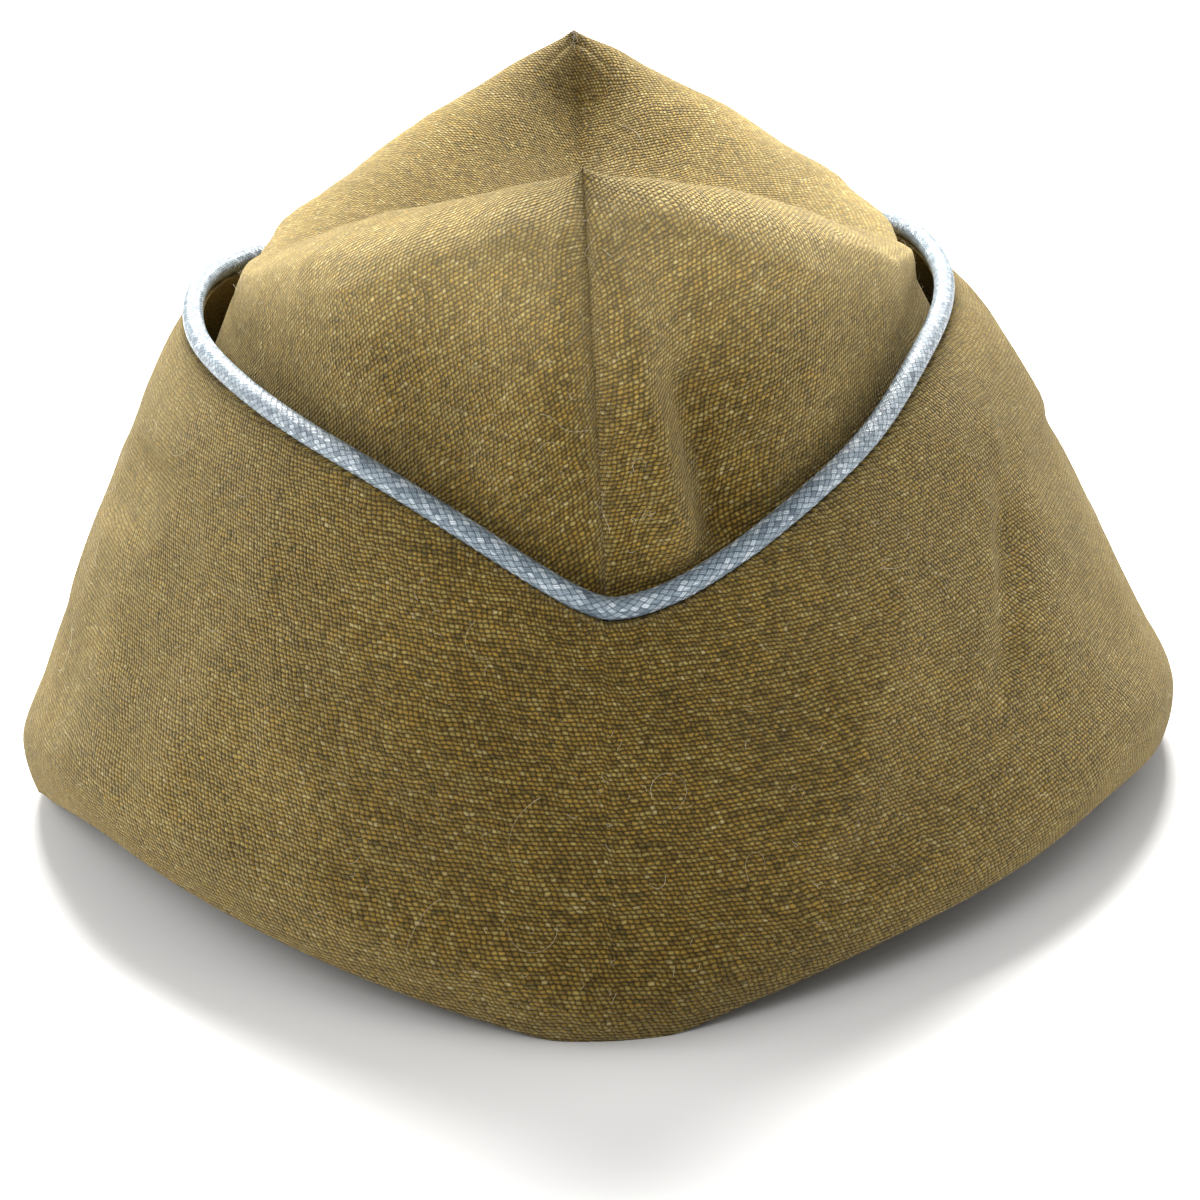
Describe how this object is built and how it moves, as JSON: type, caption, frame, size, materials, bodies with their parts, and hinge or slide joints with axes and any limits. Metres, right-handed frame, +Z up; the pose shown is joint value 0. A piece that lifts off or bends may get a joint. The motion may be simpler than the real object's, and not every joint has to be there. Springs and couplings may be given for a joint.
{
  "type": "garrison cap",
  "caption": "Wool serge garrison cap with a two-panel pointed crown, a turned-up curtain and a round cord-edge braid, standing open on its rim.",
  "frame": {"origin": "on the surface that the cap rests on, under the middle of the rim's bounding box", "axes": "+Y points to the front of the cap, +X to the wearer's right as seen from behind, and +Z up"},
  "size_m": [0.1788, 0.2122, 0.1104],
  "materials": {
    "crown_serge": "olive drab wool serge, matt, with a visible weave of ochre and grey-green yarn",
    "curtain_serge": "the same olive drab wool serge, matt",
    "edge_braid": "steel-blue plaited rayon, with a soft sheen"
  },
  "bodies": {
    "root": {"crown_panel_left": "crown_serge", "crown_panel_right": "crown_serge", "curtain": "curtain_serge", "edge_braid": "edge_braid"}
  },
  "joints": []
}
